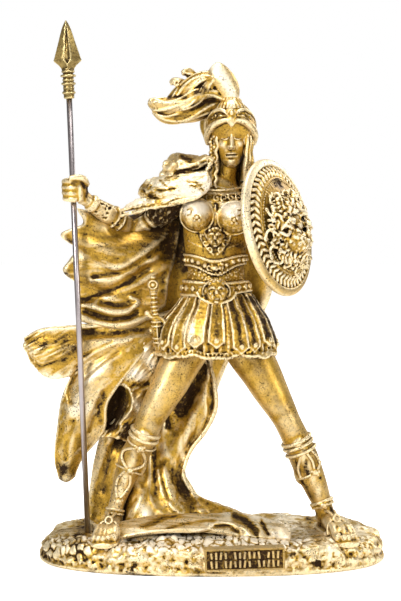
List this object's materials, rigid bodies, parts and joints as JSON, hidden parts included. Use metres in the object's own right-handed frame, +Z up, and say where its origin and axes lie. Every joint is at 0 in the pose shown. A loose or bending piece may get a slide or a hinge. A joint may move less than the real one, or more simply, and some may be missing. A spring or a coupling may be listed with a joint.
{
  "type": "cast statuette of a striding armoured goddess on a rocky base",
  "caption": "Small cast statue of a helmeted goddess striding with spear, round shield and blown cloak, on an oval rocky base with a plaque.",
  "frame": {"origin": "middle of the underside of the base, on the surface that it stands on", "axes": "+Z up along the spear's reach, +X towards the figure's left hand, -Y towards the front with the plaque"},
  "size_m": [0.2256, 0.1175, 0.3299],
  "materials": {
    "antique_gold": "cold-cast resin painted antique gold, with a dark wash left in the recesses",
    "steel": "drawn steel rod, lightly polished",
    "antique_brass": "dull antique brass with a dark groove"
  },
  "bodies": {
    "root": {"statue": "antique_gold", "shield": "antique_gold", "spear_rod": "steel", "spearhead": "antique_brass"}
  },
  "joints": []
}
